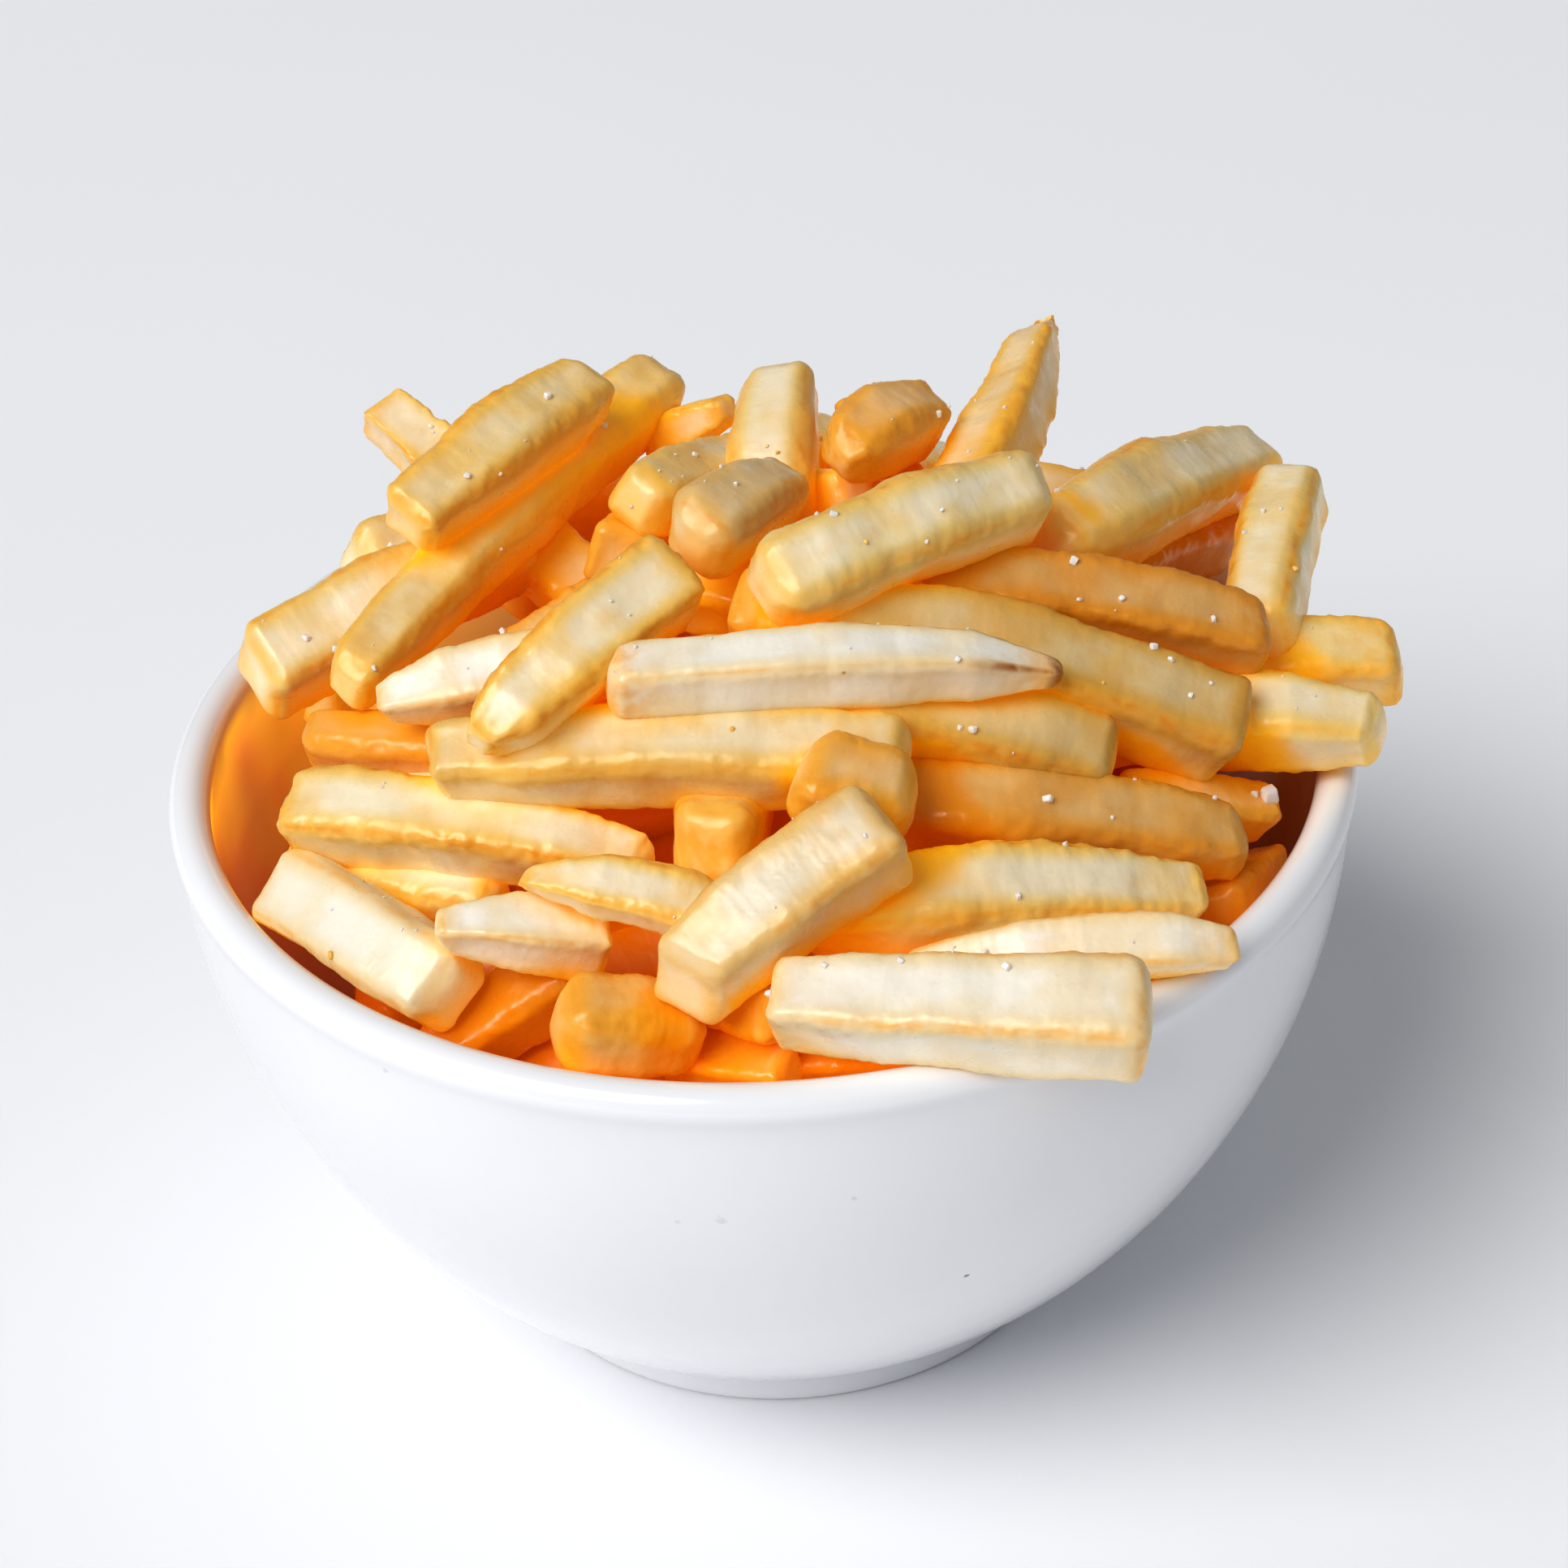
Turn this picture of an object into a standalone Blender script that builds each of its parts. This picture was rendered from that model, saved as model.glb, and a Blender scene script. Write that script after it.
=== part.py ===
# A bowl of french fries: a round glazed bowl, and the heap of fries in it as one solid.
# Run with: blender --background --python part.py
# Sizes here are in millimetres, and every mesh is scaled to metres as it is made.
import math
import random

import bmesh
import bpy
import numpy as np
from mathutils import Matrix, Vector

metre = 0.001  # one millimetre
clearance = 0.35  # air left between the bowl and the heap

# Bowl, in mm
rimRadius = 70.0
bowlHeight = 74.5
wall = 4.6
lipRound = 2.5  # radius of the rounded lip
footRadius = 37.0
footHeight = 6.0
hollowFoot = 34.0  # radius of the hollow's flat floor
floorThick = 7.0
footInset = 1.0  # the body starts this far outside the foot
rimInset = 0.6  # the body ends this far inside the lip
swell = 0.83  # how late the side runs out: 1 is a parabola
crowding = 1.5  # how much closer the side's points are at its foot
bowlSteps = 48

# Heap, in mm
fryThick = 9.5
fryFlat = 0.92  # a fry's width as a share of its thickness
fryBevel = 0.16  # its bevel, as a share too
beadCount = 9  # balls that stand for a fry when it is laid
coreTop = 84.0  # height of the packed middle
coreDrop = 27.0  # how far its top falls from the middle to coreReach
coreReach = 62.0
coreEdge = 56.0  # radius where the core's top meets its side
coreWaist = 28.0  # the core's smallest radius, at the floor
wallGap = 1.0  # the core keeps this far off the wall
heapVoxel = 1.9
heapTriangles = 6400

# The fries laid by hand: both ends of the middle line, then thickness, in mm.
laidFries = {
    "overRim": ((0, -60, 79), (38, -67, 80), 10),
    "rimSliver": ((14, -52, 77), (49, -52, 77), 6),
    "crumbly": ((3, -48, 81), (47, -39, 74), 10),
    "kinked": ((6, -31, 84), (53, -31, 75), 10),
    "kinkedStub": ((4, -38.5, 93), (16, -40, 89), 10),
    "slantFront": ((-11, -59, 79), (13, -47, 91), 10),
    "leaf": ((-26, -45, 86), (-1, -49, 81), 6),
    "wedge": ((-35, -47, 81), (-17, -45, 77), 8),
    "leftWall": ((-54, -27, 73), (-33, -49, 73), 10),
    "leftUnder": ((-54, -19, 71), (-29, -34, 75), 8),
    "leftLong": ((-52, -24, 81), (-12, -36, 80), 9),
    "blockEnd": ((-6, -41, 85), (0, 3, 69), 10),
    "lowBlock": ((-23, -56, 75), (-8, -53, 71), 10),
    "lowDark": ((-37, -47, 63), (-21, -43, 73), 8),
    "lowAmber": ((2, -57, 75), (-8, -46, 72), 7),
    "lowLeft": ((-12, -50, 65), (2, -58, 68), 6),
    "lowRight": ((2, -53, 66), (25, -55, 67), 6),
    "middleLong": ((-36, -27, 88), (16, -33, 90), 9),
    "paleTaper": ((-16, -28, 99), (33, -25, 95), 7),
    "underTaper": ((-9, -22, 96), (39, -26, 83), 10),
    "longRight": ((-3, -15, 99), (53, -19, 82), 10),
    "textured": ((-30, -33, 95), (-8, -14, 103), 10),
    "paleLeft": ((-42, -18, 91), (-9, -16, 96), 8),
    "amberLeft": ((-52, -10, 82), (-34, -17, 84), 8),
    "smallLeft": ((-45, -12, 78), (-33, -20, 81), 6),
    "topCross": ((1, -20, 104), (33, -1, 104), 10),
    "brown": ((18, -8, 97), (58, -9, 88), 9),
    "rimBack": ((28, 0, 77), (75, -3, 80), 9),
    "rimFront": ((26, -6, 76), (71, -17, 80), 9),
    "wideRight": ((33, 0, 97), (63, 36, 87), 11),
    "underWide": ((36, 7, 87), (61, 32, 80), 9),
    "uprightRight": ((67, 26, 89), (57, -5, 85), 10),
    "darkRight": ((39, -25, 77), (58, -19, 71), 8),
    "wallRight": ((58, -20, 65), (49, -35, 69), 6),
    "spear": ((38, 42, 104), (21, -3, 97), 9),
    "crumpled": ((10, 4, 106.5), (22, 18, 104), 10),
    "behindCrumple": ((13, 25, 103), (20, 12, 95), 6),
    "pinkEnd": ((13, 10, 99), (4, 21, 92), 7),
    "leaning": ((5, 29, 106), (2, 7, 97), 10),
    "paleFace": ((-7, -11, 105), (4, 6, 102), 10),
    "roundFace": ((-13, 2, 104), (11, 46, 85), 10),
    "underFace": ((-15, 0, 97), (-7, 37, 88), 8),
    "yellowStub": ((-11, 1, 93), (9, -10, 95), 8),
    "rightPoint": ((-2, 35, 98), (-12, 40, 91), 8),
    "longSlant": ((-47, -13, 90), (-10, 47, 96), 10),
    "shortSlant": ((-40, 5, 100), (-18, 30, 105), 10),
    "lowSlant": ((-59, 0, 84), (-28, 21, 88), 10),
    "roundLeft": ((-48, 16, 89), (-34, 27, 88), 9),
    "cornerStub": ((-46, 41, 98), (-18, 14, 82), 9),
    "farCross": ((-33, 27, 89), (-2, 53, 76), 9),
    "farMiddle": ((-18, 57, 72), (24, 52, 75), 10),
    "farSteep": ((12, 30, 91), (27, 58, 74), 9),
    "farRight": ((24, 40, 82), (52, 40, 76), 9),
    "farLeft": ((-55, 22, 76), (-32, 50, 72), 9),
    "farLow": ((31, 53, 68), (57, 26, 70), 9),
}

# The fries behind and under those, placed by settleFries
settledCount = 40
settledTries = 140
packing = 0.8  # two fries may close up to this share of their thickness
settledSeed = 12
settledReach = 57.0  # the farthest out that a settled fry's middle lies
sideSlope = 0.011  # how much a settled fry leans with the heap's side
shortFry, longFry = 34, 56
thinFry, thickFry = 0.85, 1.1  # shares of fryThick

# What the settled fries stay under: a dome, and the slope behind the fries that show
domeTop, domeBend, domeShift = 102.0, 0.0068, 4.0
slopeTop, slopeBack, slopeSide = 116.0, 0.67, 0.15


def clearScene():
    for old in list(bpy.data.objects):
        bpy.data.objects.remove(old, do_unlink=True)


def plainMaterial(name, colour, roughness):
    material = bpy.data.materials.new(name)
    material.use_nodes = True
    shader = material.node_tree.nodes["Principled BSDF"]
    shader.inputs["Base Color"].default_value = (*colour, 1)
    shader.inputs["Roughness"].default_value = roughness
    shader.inputs["Metallic"].default_value = 0
    return material


def meshObject(name, bm, material):
    """Turns a bmesh in millimetres into an object in metres."""
    bmesh.ops.scale(bm, vec=(metre, metre, metre), verts=bm.verts)
    mesh = bpy.data.meshes.new(name)
    bm.to_mesh(mesh)
    bm.free()
    mesh.materials.append(material)
    made = bpy.data.objects.new(name, mesh)
    bpy.context.collection.objects.link(made)
    return made


def arc(centre, radius, start, end, steps):
    """Points on an arc in the profile's plane, angles in degrees."""
    turn = [math.radians(start + (end - start) * n / steps) for n in range(steps + 1)]
    return [(centre[0] + radius * math.cos(t), centre[1] + radius * math.sin(t)) for t in turn]


def belly(low, high, share):
    """A radius on the bowl's curve, which swells fast from low and runs out upright at high."""
    return low + (high - low) * (1 - (1 - share) ** 2) ** swell


def side(low, high, bottom, top, steps):
    """Points up a side of the bowl, closer together where it curves most."""
    shares = [(n / steps) ** crowding for n in range(steps + 1)]
    return [(belly(low, high, share), bottom + (top - bottom) * share) for share in shares]


def bowlProfile(grow):
    """The bowl's outline from the middle of its floor, over the lip, to the middle of its foot."""
    lip = (rimRadius - lipRound, bowlHeight - lipRound)
    inside = side(hollowFoot, rimRadius - wall, floorThick, lip[1] - 2, 9)
    outside = side(footRadius + footInset, rimRadius - rimInset, footHeight, lip[1] - lipRound, 11)
    outline = [(0, floorThick + grow)]
    outline += [(radius - grow, height + grow) for radius, height in inside]
    outline += arc(lip, lipRound + grow, 180, -30, 8)
    outline += [(radius + grow, height - grow) for radius, height in reversed(outside)]
    return outline + [(footRadius + grow, -grow), (0, -grow)]


def insideRadius(height):
    """Radius of the hollow at a height."""
    share = (height - floorThick) / (bowlHeight - lipRound - floorThick)
    return belly(hollowFoot, rimRadius - wall, min(max(share, 0), 1))


def addTurned(bm, outline):
    """A closed solid of revolution from an outline whose ends lie on the axis."""
    points = [bm.verts.new((radius, 0, height)) for radius, height in outline]
    edges = [bm.edges.new((a, b)) for a, b in zip(points, points[1:])]
    bmesh.ops.spin(
        bm,
        geom=points + edges,
        cent=(0, 0, 0),
        axis=(0, 0, 1),
        angle=math.tau,
        steps=bowlSteps,
        use_merge=True,
    )
    bmesh.ops.remove_doubles(bm, verts=bm.verts, dist=0.01)
    bmesh.ops.recalc_face_normals(bm, faces=bm.faces)


def turned(name, outline, material):
    bm = bmesh.new()
    addTurned(bm, outline)
    return meshObject(name, bm, material)


def makeBowl():
    glaze = plainMaterial("white glaze", (0.83, 0.84, 0.87), 0.12)
    bowl = turned("bowl", bowlProfile(0), glaze)
    bowl.data.shade_smooth()
    bowl.data.set_sharp_from_angle(angle=math.radians(40))
    return bowl


def beads(start, end, thick):
    """A fry as a row of balls, x y z radius, for finding out what it touches."""
    a, b = np.array(start, float), np.array(end, float)
    inset = thick / 2 / max(np.linalg.norm(b - a), thick)
    share = np.linspace(inset, 1 - inset, beadCount)[:, None]
    return np.hstack([a + (b - a) * share, np.full((beadCount, 1), thick / 2)])


def coreHeight(away):
    """The packed middle's top at a distance from the axis."""
    return coreTop - coreDrop * (away / coreReach) ** 2


def restHeight(fry, heap):
    """How far to lift the fry from height 0 to the first place that is free above the core."""
    away = np.hypot(fry[:, 0], fry[:, 1])
    bed = coreHeight(away)
    overRim = away + fry[:, 3] > rimRadius - wall - 1
    bed = np.where(overRim, bowlHeight, bed)
    lift = (bed + fry[:, 3] - fry[:, 2]).max()
    across = np.hypot(fry[:, None, 0] - heap[None, :, 0], fry[:, None, 1] - heap[None, :, 1])
    reach = (fry[:, None, 3] + heap[None, :, 3]) * packing
    span = np.sqrt(np.maximum(reach**2 - across**2, 0))
    for _ in range(20):
        rise = heap[None, :, 2] - (fry[:, None, 2] + lift)
        touching = (across < reach) & (np.abs(rise) < span - 0.01)
        if not touching.any():
            return lift
        lift += (rise + span)[touching].max()
    return lift


def ceiling(x, y):
    """How high a settled fry may reach: under the fries that show, and out of sight behind them."""
    dome = domeTop - domeBend * (x**2 + (y - domeShift) ** 2)
    return np.minimum(dome, slopeTop - slopeSide * x - slopeBack * y)


def settleFries(heap):
    """Fills the far side and the gaps with fries, each in the lowest of some random places."""
    chance = random.Random(settledSeed)
    settled = []
    for _ in range(settledCount):
        best = None
        for _ in range(settledTries):
            around = chance.uniform(0, math.tau)
            away = settledReach * math.sqrt(chance.random())
            heading = chance.uniform(0, math.pi)
            length = chance.uniform(shortFry, longFry)
            thick = chance.uniform(thinFry, thickFry) * fryThick
            middle = np.array([away * math.cos(around), away * math.sin(around)])
            step = np.array([math.cos(heading), math.sin(heading)]) * length / 2
            slope = -sideSlope * float(middle @ step)  # it lies along the heap's side
            start = (*(middle - step), -slope)
            end = (*(middle + step), slope)
            fry = beads(start, end, thick)
            fry[:, 2] += restHeight(fry, heap)
            tooHigh = (fry[:, 2] + fry[:, 3] > ceiling(fry[:, 0], fry[:, 1])).any()
            tooWide = (np.hypot(fry[:, 0], fry[:, 1]) > rimRadius - 1).any()
            if tooHigh or tooWide:
                continue
            if best is None or fry[:, 2].mean() < best[:, 2].mean():
                best = fry
        if best is not None:
            settled.append(best)
            heap = np.vstack([heap, best])
    return settled


def addStick(bm, start, end, thick):
    """One fry as a bevelled square stick."""
    start, end = Vector(start), Vector(end)
    along = end - start
    made = bmesh.ops.create_cube(bm, size=1)["verts"]
    size = Matrix.Diagonal((thick * fryFlat, thick * fryFlat, along.length, 1))
    place = Matrix.Translation((start + end) / 2) @ along.to_track_quat("Z", "Y").to_matrix().to_4x4()
    bmesh.ops.transform(bm, matrix=place @ size, verts=made)
    edges = {edge for vert in made for edge in vert.link_edges}
    bmesh.ops.bevel(bm, geom=list(edges), offset=thick * fryBevel, segments=1, affect="EDGES", profile=0.5)


def coreOutline():
    """The packed middle of the heap, from its top down to the bowl's floor."""
    steps = 10
    outline = []
    for n in range(steps + 1):
        radius = coreEdge * n / steps
        outline.append((radius, coreHeight(radius)))
    edge = outline[-1][1]
    low = floorThick + wallGap
    for n in range(1, steps + 1):
        height = edge + (low - edge) * n / steps
        outline.append((min(max(insideRadius(height) - wallGap, coreWaist), coreEdge), height))
    return outline + [(0, low)]


def largestBody(mesh):
    """Keeps the biggest closed body of a mesh, so that no loose crumb or hidden bubble stays."""
    bm = bmesh.new()
    bm.from_mesh(mesh)
    left = set(bm.verts)
    bodies = []
    while left:
        seed = left.pop()
        body, edge = {seed}, [seed]
        while edge:
            for link in edge.pop().link_edges:
                for vert in link.verts:
                    if vert in left:
                        left.remove(vert)
                        body.add(vert)
                        edge.append(vert)
        bodies.append(body)
    keep = max(bodies, key=len)
    bmesh.ops.delete(bm, geom=[vert for vert in bm.verts if vert not in keep], context="VERTS")
    bm.to_mesh(mesh)
    bm.free()


def bakeModifiers(thing):
    """Replaces the object's mesh by what its modifiers make of it."""
    graph = bpy.context.evaluated_depsgraph_get()
    made = bpy.data.meshes.new_from_object(thing.evaluated_get(graph), depsgraph=graph)
    thing.modifiers.clear()
    thing.data = made


def makeHeap(bowlCutter):
    crust = plainMaterial("fried potato", (0.86, 0.60, 0.22), 0.45)
    bm = bmesh.new()
    addTurned(bm, coreOutline())
    for start, end, thick in laidFries.values():
        addStick(bm, start, end, thick)
    shown = np.vstack([beads(*fry) for fry in laidFries.values()])
    for fry in settleFries(shown):
        addStick(bm, fry[0, :3], fry[-1, :3], 2 * fry[0, 3])
    heap = meshObject("fries", bm, crust)

    skin = heap.modifiers.new("one skin", "REMESH")
    skin.mode = "VOXEL"
    skin.voxel_size = heapVoxel * metre
    bakeModifiers(heap)
    largestBody(heap.data)

    thin = heap.modifiers.new("fewer faces", "DECIMATE")
    thin.ratio = heapTriangles / (2 * len(heap.data.polygons))
    bakeModifiers(heap)

    cut = heap.modifiers.new("clear of the bowl", "BOOLEAN")
    cut.operation = "DIFFERENCE"
    cut.object = bowlCutter
    bakeModifiers(heap)
    largestBody(heap.data)
    heap.data.materials.clear()
    heap.data.materials.append(crust)
    return heap


def makeCutter():
    """The bowl grown by the clearance, which the heap is cut by."""
    cutter = turned("bowl cutter", bowlProfile(clearance), plainMaterial("guide", (1, 0, 0), 0.5))
    cutter.hide_render = True
    cutter.display_type = "WIRE"
    return cutter


clearScene()
makeBowl()
guide = makeCutter()
makeHeap(guide)
bpy.data.objects.remove(guide, do_unlink=True)
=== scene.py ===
import math
import random

import bpy
import numpy as np
from mathutils import Euler, Matrix, Vector
from mathutils.bvhtree import BVHTree


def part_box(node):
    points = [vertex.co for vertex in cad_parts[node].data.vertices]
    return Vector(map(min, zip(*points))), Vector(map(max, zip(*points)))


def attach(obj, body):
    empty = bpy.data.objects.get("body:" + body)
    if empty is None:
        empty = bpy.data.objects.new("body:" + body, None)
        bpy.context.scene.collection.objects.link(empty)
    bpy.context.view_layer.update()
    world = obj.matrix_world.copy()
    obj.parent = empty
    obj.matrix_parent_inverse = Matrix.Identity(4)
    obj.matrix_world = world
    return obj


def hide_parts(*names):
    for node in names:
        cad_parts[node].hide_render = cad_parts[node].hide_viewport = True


mm = 0.001

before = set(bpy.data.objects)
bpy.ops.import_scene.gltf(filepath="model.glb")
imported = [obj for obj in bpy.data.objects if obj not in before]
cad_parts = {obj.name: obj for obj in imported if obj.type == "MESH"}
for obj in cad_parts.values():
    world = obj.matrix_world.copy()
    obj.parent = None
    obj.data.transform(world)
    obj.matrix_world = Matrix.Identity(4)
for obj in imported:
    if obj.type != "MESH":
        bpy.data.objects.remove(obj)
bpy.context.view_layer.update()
bowlLow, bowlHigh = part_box("bowl")
_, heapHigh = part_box("fries")
print("frame loaded")


# Working helpers

def activate(thing):
    bpy.ops.object.select_all(action="DESELECT")
    thing.select_set(True)
    bpy.context.view_layer.objects.active = thing


def editMesh(thing):
    activate(thing)
    bpy.ops.object.mode_set(mode="EDIT")
    bpy.ops.mesh.select_all(action="SELECT")


def leaveEdit():
    bpy.ops.object.mode_set(mode="OBJECT")


def pick(thing, kind, wanted):
    # selects in edit mode the vertices or polygons that pass the test
    leaveEdit()
    bpy.context.tool_settings.mesh_select_mode = (kind == "vertices", False, kind == "polygons")
    for label in ("vertices", "edges", "polygons"):
        parts = getattr(thing.data, label)
        parts.foreach_set("select", [label == kind and bool(wanted(part)) for part in parts])
    bpy.ops.object.mode_set(mode="EDIT")


def applyAll(thing):
    activate(thing)
    for modifier in list(thing.modifiers):
        bpy.ops.object.modifier_apply(modifier=modifier.name)


def copyOf(thing, name):
    made = thing.copy()
    made.data = thing.data.copy()
    made.name = name
    bpy.context.scene.collection.objects.link(made)
    return made


def joined(things, name):
    activate(things[0])
    for thing in things:
        thing.select_set(True)
    bpy.ops.object.join()
    whole = bpy.context.view_layer.objects.active
    whole.name = name
    whole.data.name = name
    return whole


def smoothShade(thing):
    activate(thing)
    bpy.ops.object.shade_smooth()


def newPiece(name, add, **settings):
    bpy.ops.object.select_all(action="DESELECT")
    add(**settings)
    made = bpy.context.view_layer.objects.active
    made.name = name
    return made


def soften(thing, levels):
    soft = thing.modifiers.new("smooth", "SUBSURF")
    soft.levels = levels
    soft.render_levels = levels


def perVertex(mesh, what="co"):
    found = np.empty(len(mesh.vertices) * 3)
    mesh.vertices.foreach_get(what, found)
    return found.reshape(-1, 3)


def writeVectors(mesh, name, values):
    made = mesh.attributes.new(name, "FLOAT_VECTOR", "POINT")
    made.data.foreach_set("vector", values.astype(np.float32).ravel())


def closeHole():
    # the selected ring becomes a disc of a smaller ring and a middle
    bpy.ops.mesh.extrude_edges_move(TRANSFORM_OT_translate={"value": (0, 0, 0)})
    bpy.ops.transform.resize(value=(0.5, 0.5, 1))
    bpy.ops.mesh.extrude_edges_move(TRANSFORM_OT_translate={"value": (0, 0, 0)})
    bpy.ops.transform.resize(value=(0.12, 0.12, 1))
    bpy.ops.mesh.merge(type="CENTER")


def drawThrough(rings):
    # pulls the selected ring through the other rings, radius and height in mm, and closes the last
    for (radius, height), (wider, higher) in zip(rings, rings[1:]):
        bpy.ops.mesh.extrude_edges_move(TRANSFORM_OT_translate={"value": (0, 0, (higher - height) * mm)})
        grow = wider / radius
        bpy.ops.transform.resize(value=(grow, grow, 1), center_override=(0, 0, higher * mm))
    closeHole()


def faceOut():
    bpy.ops.mesh.select_all(action="SELECT")
    bpy.ops.mesh.normals_make_consistent(inside=False)
    leaveEdit()
    bpy.ops.object.transform_apply(location=True, rotation=True, scale=True)


# Shader helpers

def newMaterial(name, **settings):
    material = bpy.data.materials.new(name)
    material.use_nodes = True
    shader = material.node_tree.nodes["Principled BSDF"]
    for socket, value in settings.items():
        shader.inputs[socket.replace("_", " ")].default_value = value
    return material, material.node_tree, shader


def feed(tree, node, values):
    # links what comes from another node and sets the rest
    for socket, value in values.items():
        if isinstance(value, bpy.types.NodeSocket):
            tree.links.new(value, node.inputs[socket])
        else:
            node.inputs[socket].default_value = value
    return node


def addNode(tree, kind, values=None, **settings):
    node = tree.nodes.new("ShaderNode" + kind)
    for key, value in settings.items():
        setattr(node, key, value)
    return feed(tree, node, values or {})


def ownPlace(tree):
    return addNode(tree, "TexCoord").outputs["Object"]


def maths(tree, operation, *values, clamp=False):
    node = addNode(tree, "Math", dict(enumerate(values)), operation=operation, use_clamp=clamp)
    return node.outputs[0]


def times(tree, first, second, clamp=False):
    return maths(tree, "MULTIPLY", first, second, clamp=clamp)


def noise(tree, place, scale, detail=2.0, roughness=0.5):
    values = {"Vector": place, "Scale": scale, "Detail": detail, "Roughness": roughness}
    return addNode(tree, "TexNoise", values).outputs["Fac"]


def ramp(tree, value, low, high, to=(0.0, 1.0)):
    values = {"Value": value, "From Min": low, "From Max": high, "To Min": to[0], "To Max": to[1]}
    return addNode(tree, "MapRange", values, interpolation_type="SMOOTHSTEP").outputs["Result"]


def blendColour(tree, share, first, second, mode="MIX"):
    values = {0: share, 6: first, 7: second}
    return addNode(tree, "Mix", values, data_type="RGBA", blend_type=mode).outputs[2]


def newGroup(name, inputs, outputs):
    tree = bpy.data.node_groups.new(name, "ShaderNodeTree")
    for label, kind, value in inputs:
        socket = tree.interface.new_socket(label, in_out="INPUT", socket_type="NodeSocket" + kind)
        socket.default_value = value
    for label, kind in outputs:
        tree.interface.new_socket(label, in_out="OUTPUT", socket_type="NodeSocket" + kind)
    return tree, tree.nodes.new("NodeGroupInput").outputs, tree.nodes.new("NodeGroupOutput").inputs


def useGroup(tree, group, values):
    return addNode(tree, "Group", values, node_tree=group)


def bumped(tree, height, distance, strength, shader):
    bump = addNode(tree, "Bump", {"Height": height, "Distance": distance, "Strength": strength})
    feed(tree, shader, {"Normal": bump.outputs["Normal"]})


# Camera, floor and lights

view = {
    "elevation": 34.0,  # degrees above the table
    "distance": 388.6,
    "aimAside": 2.4,  # from the bowl's axis, to the right
    "aimBelowTop": 44.9,  # from the top of the heap
    "roll": -2.9,
    "lens": 74.53,
}


def placeCamera():
    up, roll = math.radians(view["elevation"]), math.radians(view["roll"])
    back = Vector((0, -math.cos(up), math.sin(up)))
    level, rise = Vector((1, 0, 0)), Vector((0, math.sin(up), math.cos(up)))
    aim = Vector((view["aimAside"] * mm, 0, heapHigh.z - view["aimBelowTop"] * mm))
    across = level * math.cos(roll) + rise * math.sin(roll)
    above = rise * math.cos(roll) - level * math.sin(roll)
    lens = bpy.data.cameras.new("camera")
    lens.lens = view["lens"]
    lens.sensor_width = 36
    lens.clip_start = 0.01
    camera = bpy.data.objects.new("camera", lens)
    turn = Matrix((across, above, back)).transposed().to_4x4()
    camera.matrix_world = Matrix.Translation(aim + back * view["distance"] * mm) @ turn
    bpy.context.scene.collection.objects.link(camera)
    bpy.context.scene.camera = camera


studio = {
    "floor": (0.93, 0.938, 0.955, 1),
    "floorSize": 6.0,
    "sky": (0.93, 0.96, 1.0, 1),
    "skyStrength": 0.25,
    "key": {"from": (-4.1, -3.42, 6.08), "size": 6.0, "power": 402.0, "colour": (1.0, 0.995, 0.985)},
}


def addLight(name, light):
    lamp = bpy.data.lights.new(name, "AREA")
    lamp.shape = "DISK"
    lamp.size = light["size"]
    lamp.energy = light["power"]
    lamp.color = light["colour"]
    made = bpy.data.objects.new(name, lamp)
    made.location = light["from"]
    aim = Vector((0, 0, 0.05)) - made.location
    made.rotation_euler = aim.to_track_quat("-Z", "Y").to_euler()
    bpy.context.scene.collection.objects.link(made)


def makeStudio():
    spread = {"size": studio["floorSize"], "location": (0, 0, bowlLow.z)}
    floor = newPiece("floor", bpy.ops.mesh.primitive_plane_add, **spread)
    material, tree, shader = newMaterial("matt white floor", Roughness=0.6)
    place = ownPlace(tree)
    tint = ramp(tree, noise(tree, place, 3.0), 0.3, 0.7)
    pale = tuple(0.985 * part for part in studio["floor"][:3]) + (1,)
    feed(tree, shader, {"Base Color": blendColour(tree, tint, studio["floor"], pale)})
    floor.data.materials.append(material)
    world = bpy.data.worlds.new("soft sky")
    world.use_nodes = True
    sky = world.node_tree.nodes["Background"]
    sky.inputs["Color"].default_value = studio["sky"]
    sky.inputs["Strength"].default_value = studio["skyStrength"]
    bpy.context.scene.world = world
    addLight("key light", studio["key"])
    bpy.context.scene.view_settings.view_transform = "Standard"
    bpy.context.scene.view_settings.look = "High Contrast"


placeCamera()
makeStudio()
print("camera, floor and lights placed")


# The bowl

bowl = {
    "rimRadius": 70.0,
    "wall": 4.6,
    "lipRound": 2.5,
    "footRadius": 37.0,
    "footHeight": 6.0,
    "hollowFoot": 34.0,
    "floorThick": 7.0,
    "swell": 0.83,  # how late the side runs out
    "recess": 0.9,  # depth of the hollow under the foot
    "footRing": 5.0,  # width of the ring it stands on
    "around": 72,
    "smooth": 2,
}


def belly(low, high, share):
    return low + (high - low) * (1 - (1 - share) ** 2) ** bowl["swell"]


def sideRings(low, high, bottom, top, count):
    shares = [(n / count) ** 1.5 for n in range(count + 1)]
    return [(belly(low, high, share), bottom + (top - bottom) * share) for share in shares]


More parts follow.
